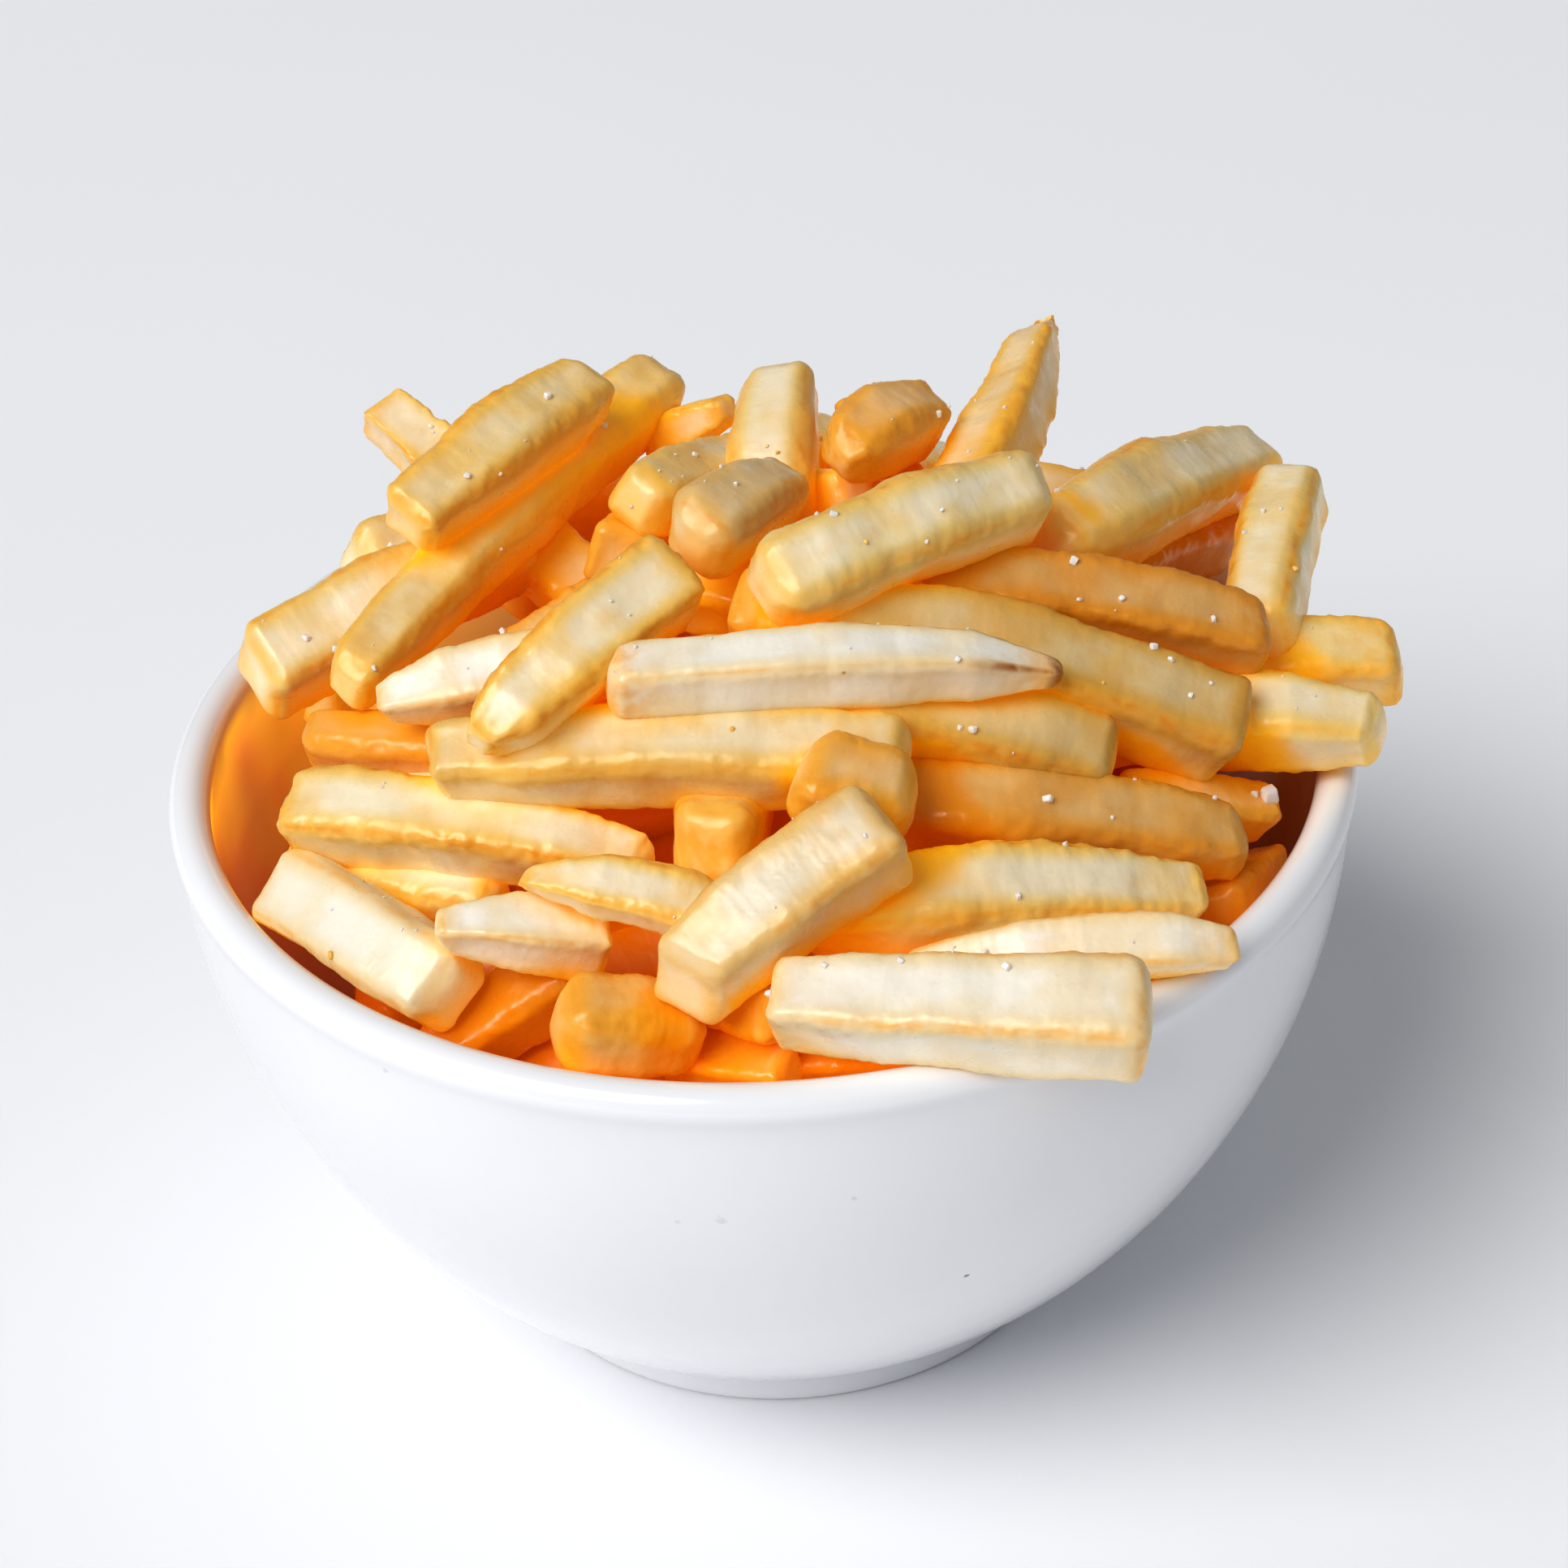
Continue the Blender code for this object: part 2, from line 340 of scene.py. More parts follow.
def bowlRings():
    # radius and height of each ring, from under the foot, up the outside, over the lip and down to the floor
    height = bowlHigh.z / mm
    lipX, lipZ = bowl["rimRadius"] - bowl["lipRound"], height - bowl["lipRound"]
    foot = bowl["footRadius"]
    inner = foot - bowl["footRing"]
    rings = [(inner - 1.5, bowl["recess"]), (inner, bowl["recess"] * 0.8)]
    rings += [(inner + 0.5, 0.2), (inner + 0.9, 0)]
    rings += [(foot - 1.2, 0), (foot - 0.35, 0.1), (foot, 0.5), (foot, 2.5), (foot, 5.2), (foot + 0.15, 5.85)]
    rings += sideRings(foot + 1, bowl["rimRadius"] - 0.6, bowl["footHeight"], lipZ - bowl["lipRound"], 13)
    for degrees in (-30, 0, 30, 60, 90, 120, 150, 180):
        turn = math.radians(degrees)
        rings.append((lipX + bowl["lipRound"] * math.cos(turn), lipZ + bowl["lipRound"] * math.sin(turn)))
    inside = sideRings(bowl["hollowFoot"], bowl["rimRadius"] - bowl["wall"], bowl["floorThick"], lipZ - 2, 11)
    return rings + inside[::-1] + [(bowl["hollowFoot"] - 8, bowl["floorThick"] - 0.05)]


def makeBowl():
    rings = bowlRings()
    radius, first = (part * mm for part in rings[0])
    start = {"vertices": bowl["around"], "radius": radius, "location": (0, 0, first)}
    made = newPiece("bowl_smooth", bpy.ops.mesh.primitive_circle_add, **start)
    editMesh(made)
    drawThrough(rings)
    pick(made, "vertices", lambda vert: abs(vert.co.z) < 1e-6 and vert.co.xy.length < radius + 1e-5)
    closeHole()
    faceOut()
    soften(made, bowl["smooth"])
    applyAll(made)
    smoothShade(made)
    return made


glazeMarks = (  # where on the bowl in mm, how wide in mm, and the colour
    ((19.5, -61.1, 41.3), 0.5, (0.25, 0.13, 0.06, 1)),
    ((-6.3, -68.1, 57.3), 0.9, (0.76, 0.76, 0.79, 1)),
    ((-11.0, -67.4, 56.7), 0.7, (0.77, 0.77, 0.80, 1)),
    ((-40.7, -56.2, 70.0), 0.6, (0.74, 0.73, 0.75, 1)),
    ((-60.0, -22.0, 72.0), 0.7, (0.75, 0.74, 0.76, 1)),
    ((7.4, -68.3, 59.5), 0.6, (0.72, 0.72, 0.75, 1)),
)


def makeMarkGroup():
    # a small uneven spot around a point
    inputs = [(name, "Vector", (0, 0, 0)) for name in ("Place", "Centre")] + [("Width", "Float", 0.001)]
    tree, given, put = newGroup("spot", inputs, (("Share", "Float"),))
    gap = addNode(tree, "VectorMath", {0: given["Place"], 1: given["Centre"]}, operation="DISTANCE")
    crooked = ramp(tree, noise(tree, given["Place"], 1400, 2), 0.3, 0.7, (0.6, 1.6))
    reach = maths(tree, "DIVIDE", times(tree, gap.outputs["Value"], crooked), given["Width"])
    tree.links.new(ramp(tree, reach, 0.35, 0.7, (0.8, 0.0)), put["Share"])
    return tree


markGroup = makeMarkGroup()


def addMark(tree, place, colour, mark):
    centre, width, shade = mark
    values = {"Place": place, "Centre": [part * mm for part in centre], "Width": width * mm}
    spot = useGroup(tree, markGroup, values)
    return blendColour(tree, spot.outputs["Share"], colour, shade)


def makeGlaze():
    material, tree, shader = newMaterial("white glaze", IOR=1.5, Coat_Weight=0.3, Coat_Roughness=0.05)
    place = ownPlace(tree)
    cloud = ramp(tree, noise(tree, place, 28, 3), 0.35, 0.65)
    colour = blendColour(tree, cloud, (0.865, 0.868, 0.895, 1), (0.885, 0.887, 0.91, 1))
    smear = ramp(tree, noise(tree, place, 60, 4, 0.6), 0.4, 0.75, (0.11, 0.24))
    ripple = noise(tree, place, 90, 1)
    bumped(tree, ripple, 0.0003, 0.12, shader)
    for mark in glazeMarks:
        colour = addMark(tree, place, colour, mark)
    feed(tree, shader, {"Base Color": colour, "Roughness": smear})
    return material


china = makeBowl()
china.data.materials.append(makeGlaze())
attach(china, "root")
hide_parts("bowl")
print("bowl made", len(china.data.polygons))


# The fries

fry = {
    "blankLong": (5.4, 26),  # length over thickness, and how many rings
    "blankShort": (2.2, 11),
    "shortUnder": 3.2,  # fries shorter than this many thicknesses come from the short blank
    "softEdge": 0.11,  # bevel of the edges, as a share of the thickness
    "shrink": 0.965,  # how far the faces sink between the edges
    "uneven": (0.019, 0.0023),  # noise size and depth, in metres
    "lumps": (0.0046, 0.0005),
    "crust": (0.0014, 0.0005),
    "crustOver": (0.5, 0.9),  # how near an edge the crust starts to roughen and is roughest
    "crustLevels": 4,
    "smoothFace": 0.1,  # how much of that roughness the middle of a face has
    "hold": 0.4,  # length of the ends that isn't stretched, as a share of the thickness
    "slantReach": 1.4,  # how far from its end a slanted cut is felt
    "taper": (-0.04, 0.24),  # how much an end may narrow
    "anyRoll": 45,  # degrees, the most where a rule draws it
    "loops": 0.6,  # where the loops beside the middle of a face lie, as a share of its half width
    "bulge": (-0.03, 0.07),  # how far a cut end stands out
    "endReach": 1.6,  # how far an end's browning goes, in thicknesses
    "fullThick": 9,  # mm, thinner fries are dented less
    "cut": 0.16,  # how slanted the ends are at most, where the tables give no cuts
}
# where the char of a burnt fry starts and is full: at its tip, and further back on its upper edges
char = {"tip": (-0.3, -0.1), "back": (-1.7, -0.867), "upper": (0.05, 0.217), "edge": (0.6, 0.85)}

# Each fry is a line of points x, y, z and thickness in mm, from one end to the other.
# roll turns it about its line, tone goes from cream to golden, brown crisps its ends, painted shade darkens
# fries that lie in shade, burn chars its last end, cuts slant its two ends to the side and up, flat is height
# over width.

plain = {"roll": 20, "tone": 0.3, "brown": 0.1, "dull": 0.0, "burn": 0, "flat": 1}


def along(*line, **look):
    return {**plain, "line": line, **look}


creamFries = {
    "overRim": along(
        (0, -60, 79, 9.5), (20, -64, 79.6, 10), (38, -67, 80, 10.4), roll=22, tone=0.0, dull=0.12
    ),
    "leftWall": along(
        (-54, -27, 73, 10.4), (-44, -38, 74.2, 10.4), (-33, -49, 73, 10), roll=40, tone=0.0, dull=0.15
    ),
    "slantFront": along(
        (-11, -59, 79, 10.4), (1, -53, 86, 10), (13, -47, 91, 9.5),
        tone=0.6, dull=0.5, cuts=((0.3, -0.5), (0, 0)),
    ),
    "paleTaper": along(
        (-16, -28, 99, 7.4), (6, -27.5, 99, 7.4), (23, -26, 97.4, 6.6), (33, -25, 95, 2.6),
        roll=14, tone=0.0, burn=1, brown=0.6,
    ),
    "paleLeft": along((-42, -18, 91, 4.6), (-34, -17.5, 92.3, 7.6), (-9, -16, 96, 8.4), roll=30, tone=0.15),
    "wedge": along((-35, -47, 81, 4.5), (-27, -46.5, 80, 7.4), (-17, -45, 77, 8.4), tone=0.1),
    "paleFace": along(
        (-7, -11, 105, 10), (-1, -2.5, 104.5, 9.5), (4, 6, 102, 9), tone=0.6, dull=0.7, blank="soft"
    ),
    "rimSliver": along(
        (14, -52, 77, 3), (27, -52, 78, 6), (41, -52, 78, 6.4), (49, -52, 77, 4.5),
        roll=35, tone=0.15, brown=0.5,
    ),
}

paleFries = {
    "middleLong": along(
        (-36, -27, 88, 9.4), (-10, -30.5, 90.5, 9.4), (16, -33, 90, 8.5), roll=24, tone=0.4, dull=0.3
    ),
    "underTaper": along(
        (-9, -22, 96, 9.5), (16, -24.5, 90.5, 10), (39, -26, 83, 10), roll=28, tone=0.35, dull=0.9
    ),
    "longRight": along(
        (-3, -15, 99, 9), (26, -17, 93, 10.4), (53, -19, 82, 10.4), roll=26, tone=0.35, dull=0.9
    ),
    "topCross": along(
        (1, -20, 104, 10), (17, -11, 105, 10), (33, -1, 104, 9.6), roll=34, tone=0.15, blank="soft"
    ),
    "rimFront": along((26, -6, 76, 9.4), (50, -12, 79.5, 9.4), (71, -17, 80, 9), roll=15, tone=0.15),
    "wideRight": along(
        (33, 0, 96, 11), (48, 18, 92, 11.4), (63, 36, 86.5, 11.4),
        roll=30, tone=0.25, dull=0.2, blank="soft",
    ),
    "uprightRight": along(
        (67, 26, 89, 10.4), (62, 11, 87.5, 10), (57, -5, 85, 9), roll=10, tone=0.1, blank="soft"
    ),
    "leaning": along((5, 29, 106, 9), (3.4, 18, 102, 10), (2, 7, 97, 10), roll=5, tone=0.2, blank="soft"),
    "lowSlant": along((-59, 0, 84, 10.4), (-43, 10, 87, 10.4), (-28, 21, 88, 10), roll=30, tone=0.15),
    "roundLeft": along((-48, 16, 89, 9), (-34, 27, 88, 9), roll=30, tone=0.15, blank="soft"),
    "farMiddle": along((-18, 57, 72, 10), (3, 56.5, 74, 10), (24, 52, 75, 9)),
    "farRight": along((24, 40, 82, 9), (52, 40, 76, 9)),
    "farLow": along((31, 53, 68, 9), (57, 26, 70, 9)),
}

goldenFries = {
    "blockEnd": along((-6, -41, 85, 10.5), (0, 3, 69, 10), roll=4, tone=0.35, brown=0.6),
    "rimBack": along((28, 0, 77, 9), (52, -1, 79.6, 9.2), (75, -3, 80, 9), tone=-0.4, brown=0.6),
    "spear": along(
        (38, 42, 104, 3), (35.5, 33, 104.6, 6), (30, 17, 102, 8.6), (21, -3, 97, 8.7), tone=0.65, brown=0.35
    ),
    "roundFace": along((-13, 2, 104, 9), (-4, 18, 97, 9.5), (11, 46, 85, 10), roll=25, blank="soft"),
    "yellowStub": along((-11, 1, 93, 8), (9, -10, 95, 8), tone=0.4),
    "longSlant": along(
        (-47, -13, 90, 8), (-36, 6, 92.5, 9.5), (-23, 27, 95, 10.3), (-10, 47, 96, 10),
        blank="soft", brown=0.3,
    ),
    "shortSlant": along((-40, 5, 100, 8.8), (-29, 17.5, 103, 9.5), (-18, 30, 105, 8.6), roll=25),
    "farCross": along((-33, 27, 89, 9), (-2, 53, 76, 9), tone=0.4),
    "farSteep": along((12, 30, 91, 9), (27, 58, 74, 9), tone=0.35),
}

amberFries = {
    "kinked": along(
        (6, -31, 84, 9), (30, -32, 81, 9.8), (44, -31.5, 77.5, 9.3), (53, -31, 75, 6.5),
        roll=24, tone=0.35, dull=0.7,
    ),
    "kinkedStub": along((4, -38.5, 93, 9.5), (16, -40, 89, 9.5), roll=18, tone=0.5, flat=0.8),
    "lowBlock": along((-23, -56, 75, 10.5), (-8, -53, 71, 9.5), roll=10, tone=0.5, blank="soft"),
    "brown": along(
        (18, -8, 97, 8), (38, -8.5, 93.5, 9), (58, -9, 88, 8.5), roll=25, tone=0.55, brown=0.8, dull=0.8
    ),
    "underWide": along((36, 7, 87, 9), (61, 32, 80, 9), tone=0.5, dull=1),
    "darkRight": along((39, -25, 77, 8), (58, -19, 71, 6), tone=0.8),
    "wallRight": along((58, -20, 65, 6), (49, -35, 69, 6.5), tone=0.6, dull=1),
    "underFace": along((-15, 0, 97, 8), (-7, 37, 88, 8), tone=0.5),
    "amberLeft": along((-52, -10, 82, 7), (-34, -17, 84, 7.5), tone=0.8, blank="soft"),
    "lowDark": along((-37, -47, 63, 8), (-21, -43, 73, 8), tone=0.8, dull=1),
    "lowAmber": along((2, -57, 75, 7), (-8, -46, 72, 7), tone=0.8),
    "lowLeft": along((-12, -50, 65, 6), (2, -58, 68, 6), tone=0.6),
    "lowRight": along((2, -53, 66, 6), (25, -55, 67, 6), tone=0.6),
    "crumpled": along(
        (10, 4, 106.5, 8), (15, 11, 106.5, 10.5), (22, 18, 104, 9), tone=0.7, brown=0.6, blank="soft"
    ),
    "behindCrumple": along((13, 25, 103, 6), (20, 12, 95, 6), tone=0.5),
}

grittyFries = {
    "crumbly": along((3, -48, 81, 9), (25, -44, 79, 9.5), (47, -39, 74, 9), roll=25),
    "leaf": along(
        (-26, -45, 86, 3), (-17, -47, 85.4, 6.5), (-8, -48.8, 83.5, 6.5), (-1, -49, 81, 2.6),
        roll=25, tone=0.35, flat=0.75, brown=0.4,
    ),
    "leftUnder": along((-54, -19, 71, 7), (-41, -28, 74, 8), (-29, -34, 75, 7), tone=0.35),
    "leftLong": along(
        (-52, -24, 81, 8.8), (-31, -30.5, 82, 8.8), (-12, -36, 80, 6.5), roll=24, tone=0.2, brown=0.3
    ),
    "textured": along(
        (-30, -33, 95, 3.6), (-26, -29.5, 96.6, 8), (-17, -22, 100.5, 9.8), (-8, -14, 103, 9.8),
        roll=30, tone=0.35,
    ),
    "smallLeft": along((-45, -12, 78, 6), (-33, -20, 81, 6), tone=0.5),
    "pinkEnd": along((13, 10, 99, 7), (4, 21, 92, 7)),
    "rightPoint": along((-2, 35, 98, 4), (-12, 40, 91, 8), tone=0.6, brown=0.5),
    "cornerStub": along((-46, 41, 98, 8), (-32, 28, 90, 9), (-18, 14, 82, 9), tone=0.35, brown=0.3),
    "farLeft": along((-55, 22, 76, 9), (-32, 50, 72, 9), tone=0.35),
}

dents = {}
for name in ("uneven", "lumps", "crust"):
    dents[name] = bpy.data.textures.new(name, "CLOUDS")
    dents[name].noise_scale = fry[name][0]
    dents[name].noise_depth = 2


def addDent(thing, name, share, group=""):
    made = thing.modifiers.new(name, "DISPLACE")
    made.texture = dents[name]
    made.texture_coords = "GLOBAL"
    made.vertex_group = group
    made.strength = fry[name][1] * share


def rising(value, span):
    return ((value - span[0]) / (span[1] - span[0])).clip(0, 1)


def makeBlank(name, shape, softEdge, wobble, seed):
    # a stick along X, cut by hand: its rings are a little out of line
    chance = random.Random(seed)
    made = newPiece(name, bpy.ops.mesh.primitive_cube_add, size=1)
    editMesh(made)
    length, rings = shape
    half = length / 2
    bpy.ops.transform.resize(value=(length, 1, 1))
    bpy.ops.mesh.bevel(offset=softEdge, segments=1, affect="EDGES")
    level = (0.5 - softEdge) * fry["loops"]
    for side in (-level, level):
        for normal in ((0, 1, 0), (0, 0, 1)):
            bpy.ops.mesh.select_all(action="SELECT")
            bpy.ops.mesh.bisect(plane_co=Vector(normal) * side, plane_no=normal)
    pick(made, "vertices", lambda vert: min(abs(vert.co.y), abs(vert.co.z)) < level + 0.01)
    bpy.ops.transform.resize(value=(1, fry["shrink"], fry["shrink"]))
    for n in range(1, rings):
        x = length * (n / rings - 0.5)
        if abs(x) > half - softEdge - 0.05:
            continue
        bpy.ops.mesh.select_all(action="SELECT")
        bpy.ops.mesh.bisect(plane_co=(x, 0, 0), plane_no=(1, 0, 0))
        bpy.ops.transform.translate(value=[chance.uniform(-wobble, wobble) for _ in range(3)])
        grow = [1 + chance.uniform(-wobble, wobble) for _ in range(2)]
        bpy.ops.transform.resize(value=(1, grow[0], grow[1]))
    for side in (-1, 1):
        pick(made, "polygons", lambda face: face.normal.x * side > 0.9 and face.center.yz.length < level)
        bpy.ops.transform.translate(value=(side * chance.uniform(*fry["bulge"]), 0, 0))
    leaveEdit()
    made.hide_render = True
    made.hide_viewport = True
    return made


def fitBlank(mesh, length, thick, cuts, tapers):
    # lengthens the middle only, so that the ends keep their shape, then narrows and slants the ends
    place = perVertex(mesh)
    old, new = place[:, 0].max(), length / thick / 2
    hold = fry["hold"]
    inside = np.clip(place[:, 0], -old + hold, old - hold)
    beyond = place[:, 0] - inside
    place[:, 0] = inside * (new - hold) / (old - hold) + beyond
    for side, (aside, up), (narrow, thin) in zip((-1, 1), cuts, tapers):
        near = np.clip(1 - (new - place[:, 0] * side) / fry["slantReach"], 0, 1)
        place[:, 0] += side * near * (aside * place[:, 1] + up * place[:, 2])
        place[:, 1] *= 1 - narrow * near**1.5
        place[:, 2] *= 1 - thin * near**1.5
    mesh.vertices.foreach_set("co", place.ravel())
    mesh.update()


def writeLook(mesh, length, thick, look, chance):
    # what the crust's shader reads: nearness to an edge and to an end, the fry's own tone and browning with
    # its painted shade, and its grain
    place = perVertex(mesh)
    half = length / thick / 2
    fromEnd = half - np.abs(place[:, 0])
    sides = np.stack([1 - fromEnd * 2, np.abs(place[:, 1]) * 2, np.abs(place[:, 2]) * 2], axis=1)
    edge = np.sort(sides, axis=1)[:, 1].clip(0, 1)
    edge /= edge.max()
    end = (1 - fromEnd / fry["endReach"]).clip(0, 1)
    beyond = place[:, 0] - half
    back = rising(beyond, char["back"]) * rising(place[:, 2], char["upper"]) * rising(edge, char["edge"])
    burn = look["burn"] * np.maximum(back, rising(beyond, char["tip"]))
    wear = np.stack([edge, end, burn], axis=1)
    makeAndShade = np.tile((look["tone"], look["brown"], look["dull"]), (len(edge), 1))
    grain = place * thick * mm + np.array([chance.uniform(-1, 1) for _ in range(3)])
    for name, values in (("wear", wear), ("makeAndShade", makeAndShade), ("grain", grain)):
        writeVectors(mesh, name, values)
    return edge


def gatherEdges(thing, edge):
    # the crust is roughest along the edges
    group = thing.vertex_groups.new(name="edges")
    levels = fry["crustLevels"]
    level = np.round(rising(edge, fry["crustOver"]) * levels).astype(int)
    for n in range(levels + 1):
        weight = fry["smoothFace"] + (1 - fry["smoothFace"]) * n / levels
        group.add(np.flatnonzero(level == n).tolist(), weight, "REPLACE")


def layFry(name, look, blanks, chance, rough, smooth):
    points = look["line"]
    length = sum(math.dist(a[:3], b[:3]) for a, b in zip(points, points[1:]))
    thick = max(point[3] for point in points)
    kind = look.get("blank", chance.choice(("square", "squareTwo")))
    made = copyOf(blanks[kind][0 if length / thick > fry["shortUnder"] else 1], name)
    made.hide_render = False
    made.hide_viewport = False
    most = fry["cut"]
    cuts = look.get("cuts") or [[chance.uniform(-most, most) for _ in range(2)] for _ in range(2)]
    tapers = [[chance.uniform(*fry["taper"]) for _ in range(2)] for _ in range(2)]
    fitBlank(made.data, length, thick, cuts, tapers)
    soften(made, smooth)
    applyAll(made)
    gatherEdges(made, writeLook(made.data, length, thick, look, chance))
    made.data.transform(Matrix.Diagonal((1, 1, look["flat"], 1)))

    path = bpy.data.curves.new(name + "_line", "CURVE")
    path.dimensions = "3D"
    path.twist_mode = "Z_UP"
    path.use_radius = True
    path.use_stretch = True
    path.use_deform_bounds = True
    path.resolution_u = 24
    line = path.splines.new("BEZIER")
    line.bezier_points.add(len(points) - 1)
    for knot, (x, y, z, wide) in zip(line.bezier_points, points):
        knot.co = Vector((x, y, z)) * mm
        knot.radius = wide * mm
        knot.tilt = math.radians(look["roll"])
        knot.handle_left_type = "AUTO"
        knot.handle_right_type = "AUTO"
    guide = bpy.data.objects.new(path.name, path)
    bpy.context.scene.collection.objects.link(guide)
    follow = made.modifiers.new("follow", "CURVE")
    follow.object = guide
    follow.deform_axis = "POS_X"
    slim = min(1, thick / fry["fullThick"])
    addDent(made, "uneven", slim)
    addDent(made, "lumps", slim * rough)
    addDent(made, "crust", slim * rough, "edges")
    applyAll(made)
    bpy.data.objects.remove(guide)
    return made


def layFries(name, table, blanks, rough, seed, smooth):
    chance = random.Random(seed)
    laid = [layFry(label, look, blanks, chance, rough, smooth) for label, look in table.items()]
    whole = joined(laid, name)
    smoothShade(whole)
    print(name, len(whole.data.polygons))
    return whole


blanks = {}
for name, softer, wobble, seed in (
    ("square", 1, 0.009, 1),
    ("squareTwo", 1.35, 0.012, 2),
    ("soft", 1.8, 0.014, 3),
):
    shapes = (fry["blankLong"], fry["blankShort"])
    blanks[name] = [makeBlank(name, shape, fry["softEdge"] * softer, wobble, seed) for shape in shapes]


# The fried crust

def written(tree, name):
    # the three values of an attribute on the mesh
    found = addNode(tree, "Attribute", attribute_name=name).outputs["Vector"]
    return addNode(tree, "SeparateXYZ", {0: found})


shades = {
    "milky": (0.93, 0.885, 0.80, 1),
    "dulling": (0.80, 0.68, 0.46, 1),
    "burnt": (0.40, 0.14, 0.025, 1),
    "speck": (0.45, 0.17, 0.03, 1),
}


def makeCrustGroup():
    tree, given, put = newGroup(
        "fried crust",
        (
            ("Pale", "Color", (0.95, 0.80, 0.47, 1)),
            ("Golden", "Color", (0.94, 0.58, 0.12, 1)),
            ("Brown", "Color", (0.62, 0.25, 0.03, 1)),
            ("Crisp", "Color", (0.90, 0.44, 0.05, 1)),
            ("Shade Colour", "Color", (0.97, 0.52, 0.015, 1)),
            ("Edge Browning", "Float", 0.5),
            ("Milky", "Float", 0.3),
        ),
        (("Color", "Color"), ("Roughness", "Float"), ("Height", "Float")),
    )
    place = ownPlace(tree)
    grain = addNode(tree, "Attribute", attribute_name="grain").outputs["Vector"]
    wear = written(tree, "wear")
    makeAndShade = written(tree, "makeAndShade")
    cloud = noise(tree, place, 120, 2)
    blotch = ramp(tree, cloud, 0.7, 0.3, (-0.18, 0.2))
    cutEnd = ramp(tree, wear.outputs[1], 0.78, 0.92, (1.0, 0.2))
    # painted shade: where the key light is blocked, as read from the glow attribute, the crust's tone shifts
    # towards golden and then to the shade colour, less so at cut ends
    glowing = written(tree, "glow")
    keyShadow = times(tree, glowing.outputs[0], cutEnd)
    under = ramp(tree, keyShadow, 0.3, 0.95, (-0.05, 0.8))
    tone = maths(tree, "ADD", makeAndShade.outputs[0], blotch)
    tone = maths(tree, "ADD", tone, under, clamp=True)
    colour = blendColour(tree, tone, given["Pale"], given["Golden"])

    streakPlace = addNode(tree, "Mapping", {"Vector": grain, "Scale": (0.1, 0.6, 0.6)}).outputs["Vector"]
    streak = noise(tree, streakPlace, 520, 1)
    colour = blendColour(tree, ramp(tree, streak, 0.5, 0.75, (0.0, 0.22)), colour, given["Golden"])
    blister = noise(tree, place, 430, 2, 0.5)
    wrinklePlace = addNode(tree, "Mapping", {"Vector": grain, "Scale": (1, 0.3, 0.3)}).outputs["Vector"]
    wrinkle = noise(tree, wrinklePlace, 620, 1)
    face = times(tree, ramp(tree, wear.outputs[0], 0.25, 0.8, (1.0, 0.0)), given["Milky"])
    milky = times(tree, ramp(tree, cloud, 0.36, 0.6, (0.4, 1.0)), face)
    colour = blendColour(tree, milky, colour, shades["milky"])
    rim = times(tree, ramp(tree, wear.outputs[0], 0.5, 0.95, (0.0, 0.7)), given["Edge Browning"])
    colour = blendColour(tree, rim, colour, given["Golden"])

    ragged = ramp(tree, noise(tree, place, 380, 2, 0.6), 0.36, 0.62, (0.35, 1.15))
    edge = times(tree, ramp(tree, wear.outputs[0], 0.78, 0.97), given["Edge Browning"])
    end = times(tree, ramp(tree, wear.outputs[1], 0.3, 1.0), makeAndShade.outputs[1])
    crisp = times(tree, maths(tree, "ADD", edge, end), ragged, clamp=True)
    colour = blendColour(tree, crisp, colour, given["Crisp"])
    crisper = times(tree, maths(tree, "POWER", crisp, 3.0), 0.3)
    colour = blendColour(tree, crisper, colour, given["Brown"])
    # painted shade: the deep orange shade colour is mixed in where the key light hardly reaches
    shadeShare = ramp(tree, keyShadow, 0.45, 1.0, (0.0, 0.95))
    colour = blendColour(tree, shadeShare, colour, given["Shade Colour"])
    # painted shade: fries in shade are multiplied darker and warmer
    dulled = blendColour(tree, 1.0, colour, shades["dulling"], "MULTIPLY")
    colour = blendColour(tree, makeAndShade.outputs[2], colour, dulled)
    burnt = times(tree, wear.outputs[2], ramp(tree, blister, 0.35, 0.6, (0.45, 1.0)))
    colour = blendColour(tree, burnt, colour, shades["burnt"])

    dots = addNode(tree, "TexVoronoi", {"Vector": place, "Scale": 210, "Randomness": 1.0})
    dot = ramp(tree, dots.outputs["Distance"], 0.035, 0.08, (1.0, 0.0))
    drawn = addNode(tree, "SeparateColor", {0: dots.outputs["Color"]}).outputs[0]
    few = maths(tree, "GREATER_THAN", drawn, 0.96)
    speck = times(tree, times(tree, dot, few), 0.75)
    colour = blendColour(tree, speck, colour, shades["speck"])

    tree.links.new(colour, put["Color"])
    tree.links.new(ramp(tree, blister, 0.35, 0.65, (0.42, 0.26)), put["Roughness"])
    rise = maths(tree, "ADD", times(tree, blister, 0.35), times(tree, wrinkle, 0.3))
    rise = maths(tree, "ADD", rise, times(tree, streak, 0.25))
    tree.links.new(rise, put["Height"])
    return tree


crustGroup = makeCrustGroup()


def crustOf(pale, golden, browning, milky, shadeColour=(0.97, 0.52, 0.015)):
    colours = {"Pale": (*pale, 1), "Golden": (*golden, 1), "Shade Colour": (*shadeColour, 1)}
    return {**colours, "Edge Browning": browning, "Milky": milky}


